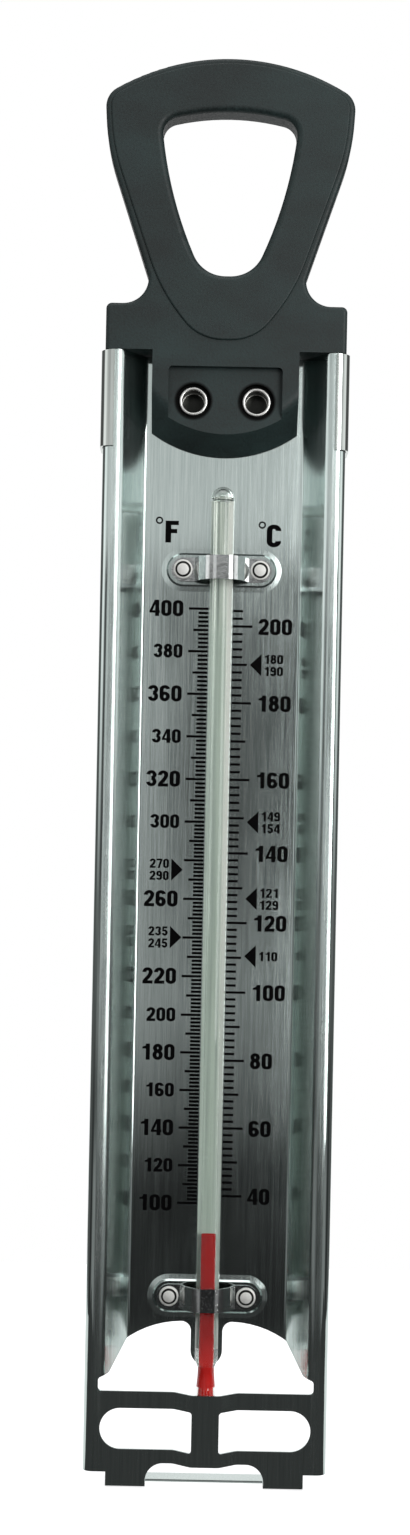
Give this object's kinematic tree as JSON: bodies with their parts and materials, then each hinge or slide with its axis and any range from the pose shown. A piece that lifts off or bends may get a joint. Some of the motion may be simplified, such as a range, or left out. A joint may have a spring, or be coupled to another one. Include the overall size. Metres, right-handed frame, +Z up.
{
  "type": "paddle thermometer",
  "caption": "Stainless paddle with a glass tube of red liquid over a flat scale face, a bulb guard with feet, a sliding pan clip and a black moulded handle with a hanging loop.",
  "frame": {"origin": "middle of the strip that joins the feet, on its underside", "axes": "+Z up the paddle from the feet to the loop, -Y out of the scale face, +X to the right of someone reading it"},
  "size_m": [0.0532, 0.0175, 0.3045],
  "materials": {
    "paddle_steel": "bright rolled stainless sheet, smooth",
    "clip_steel": "bright rolled stainless sheet",
    "strap_steel": "bright rolled stainless strip",
    "rivet_steel": "bright turned steel",
    "handle_plastic": "fine matt moulding, slate black",
    "glass": "clear drawn glass",
    "enamel": "grey-green enamel stripe inside the glass",
    "red_liquid": "red dyed spirit"
  },
  "bodies": {
    "root": {"paddle_body": "paddle_steel", "handle": "handle_plastic", "glass_tube": "glass", "tube_backing": "enamel", "bulb_liquid": "red_liquid", "handle_rivet_left": "rivet_steel", "handle_rivet_right": "rivet_steel", "upper_strap": "strap_steel", "lower_strap": "strap_steel", "upper_strap_rivet_left": "rivet_steel", "upper_strap_rivet_right": "rivet_steel", "lower_strap_rivet_left": "rivet_steel", "lower_strap_rivet_right": "rivet_steel"},
    "clip": {"pan_clip": "clip_steel"},
    "column": {"liquid_column": "red_liquid"}
  },
  "joints": [
    {"name": "clip_slide", "type": "slide", "parent": "root", "child": "clip", "axis": [0, 0, 1], "range_m": [-0.213, 0]},
    {"name": "liquid_rise", "type": "slide", "parent": "root", "child": "column", "axis": [0, 0, 1], "range_m": [-0.02, 0.1341], "deforming": ["liquid_column"]}
  ]
}
